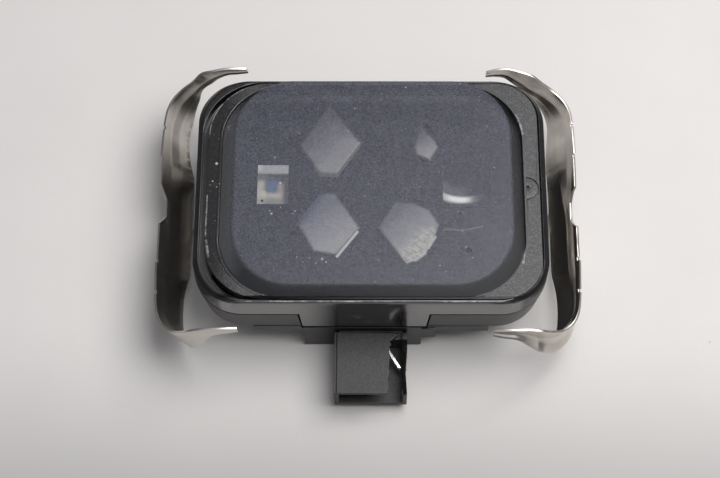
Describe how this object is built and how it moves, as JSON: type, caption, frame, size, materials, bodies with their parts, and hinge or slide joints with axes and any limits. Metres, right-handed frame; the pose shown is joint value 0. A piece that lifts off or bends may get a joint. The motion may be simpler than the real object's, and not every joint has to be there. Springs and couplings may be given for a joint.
{
  "type": "windscreen rain and light sensor",
  "caption": "Flat rounded black sensor module with a clear coupling pad over light windows, a front socket and sprung steel side clips.",
  "frame": {"origin": "middle of the rear cover's flat resting face", "axes": "+Z from the rear cover to the glass side, +X along the long side to the right with the socket towards the viewer, -Y out of the socket's mouth"},
  "size_m": [0.0783, 0.0621, 0.0232],
  "materials": {
    "housing_plastic": "satin moulded black, glossier on the front wall, dusty along the rim",
    "cover_plastic": "satin moulded black",
    "frame_plastic": "fine-grained satin black, dusty and scuffed on the left",
    "plate_plastic": "dark blue-grey, seen through the pad",
    "pad_silicone": "translucent blue-grey silicone with dust and small pimples",
    "lens_clear": "clear light guides that look hazy grey",
    "window_clear": "clear windows with a bright formed edge",
    "board_resin": "green solder resist",
    "dark_epoxy": "matt moulded epoxy",
    "clear_epoxy": "clear moulded epoxy",
    "white_epoxy": "white moulded cap",
    "capacitor_can": "bright drawn can",
    "seal_rubber": "soft black rubber",
    "socket_plastic": "matt black, fine texture",
    "tinned_contact": "bright tin plate",
    "spring_steel": "bright formed spring steel with soft reflections",
    "pin_steel": "plain ground steel"
  },
  "bodies": {
    "housing": {"ambient_sensor": "clear_epoxy", "ambient_window": "window_clear", "circuit_board": "board_resin", "connector_shroud": "socket_plastic", "contact_bent": "tinned_contact", "contact_left": "tinned_contact", "contact_middle": "tinned_contact", "controller_chip": "dark_epoxy", "coupling_pad": "pad_silicone", "emitter_left": "dark_epoxy", "emitter_right": "dark_epoxy", "filter_capacitor": "capacitor_can", "forward_sensor": "clear_epoxy", "forward_window": "window_clear", "hinge_pin_left": "pin_steel", "hinge_pin_right": "pin_steel", "housing_seal": "seal_rubber", "humidity_sensor": "white_epoxy", "lens_plate": "plate_plastic", "light_guide_mask": "plate_plastic", "light_lens_small": "lens_clear", "pad_frame": "frame_plastic", "rain_lens_front_left": "lens_clear", "rain_lens_front_right": "lens_clear", "rain_lens_rear_left": "lens_clear", "rear_cover": "cover_plastic", "receiver_left": "dark_epoxy", "receiver_right": "dark_epoxy", "transceiver_chip": "dark_epoxy", "upper_housing": "housing_plastic"},
    "clip_left": {"clip_left": "spring_steel"},
    "clip_right": {"clip_right": "spring_steel"}
  },
  "joints": [
    {"name": "clip_left_hinge", "type": "hinge", "parent": "housing", "child": "clip_left", "pos_m": [-0.0296, 0, 0.002], "axis": [0, -1, 0], "range_deg": [-12, 5], "stiffness_Nm_per_rad": 0.1},
    {"name": "clip_right_hinge", "type": "hinge", "parent": "housing", "child": "clip_right", "pos_m": [0.0296, 0, 0.002], "axis": [0, 1, 0], "range_deg": [-5, 12], "stiffness_Nm_per_rad": 0.1}
  ]
}
